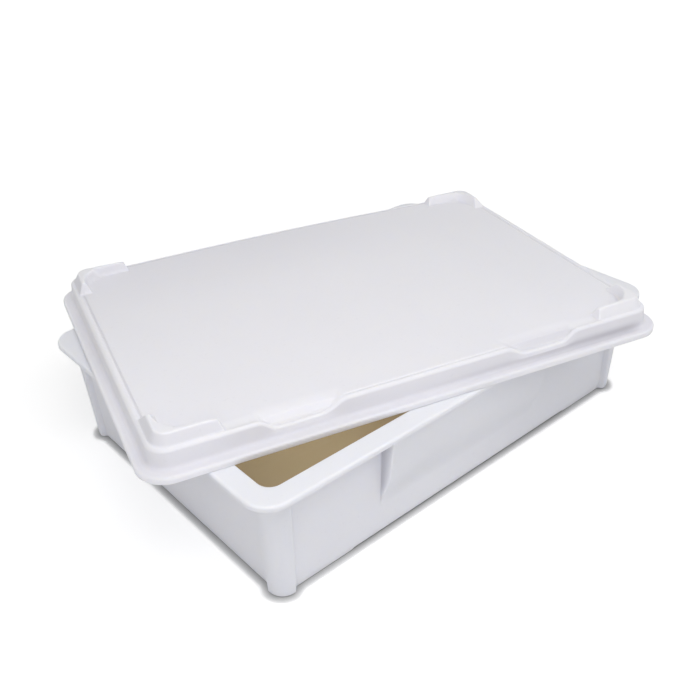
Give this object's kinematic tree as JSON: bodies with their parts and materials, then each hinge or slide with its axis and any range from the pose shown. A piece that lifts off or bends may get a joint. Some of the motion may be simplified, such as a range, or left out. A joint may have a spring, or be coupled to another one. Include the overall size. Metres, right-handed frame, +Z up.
{
  "type": "dough proofing container",
  "caption": "Low, wide stacking box for resting dough, with a flat-flanged open tub on rounded corner feet and a lift-off lid with a scooped skirt and corner stacking tabs",
  "frame": {"origin": "The middle of the tub's underside, on the surface that it stands on", "axes": "+X along the tub's long sides, +Y across them, away from the side that shows in front, and +Z up, the way the lid lifts"},
  "size_m": [0.7438, 0.606, 0.1942],
  "materials": {
    "tub_plastic": "white moulded polyethylene, satin outside and warm tan inside",
    "lid_plastic": "white moulded polyethylene, satin, with a fine grain on the deck"
  },
  "bodies": {
    "tub": {"tub": "tub_plastic"},
    "lid": {"lid": "lid_plastic"}
  },
  "joints": [
    {"name": "lid_lift", "type": "slide", "parent": "tub", "child": "lid", "axis": [0, 0, 1], "range_m": [0, 0.2]}
  ]
}
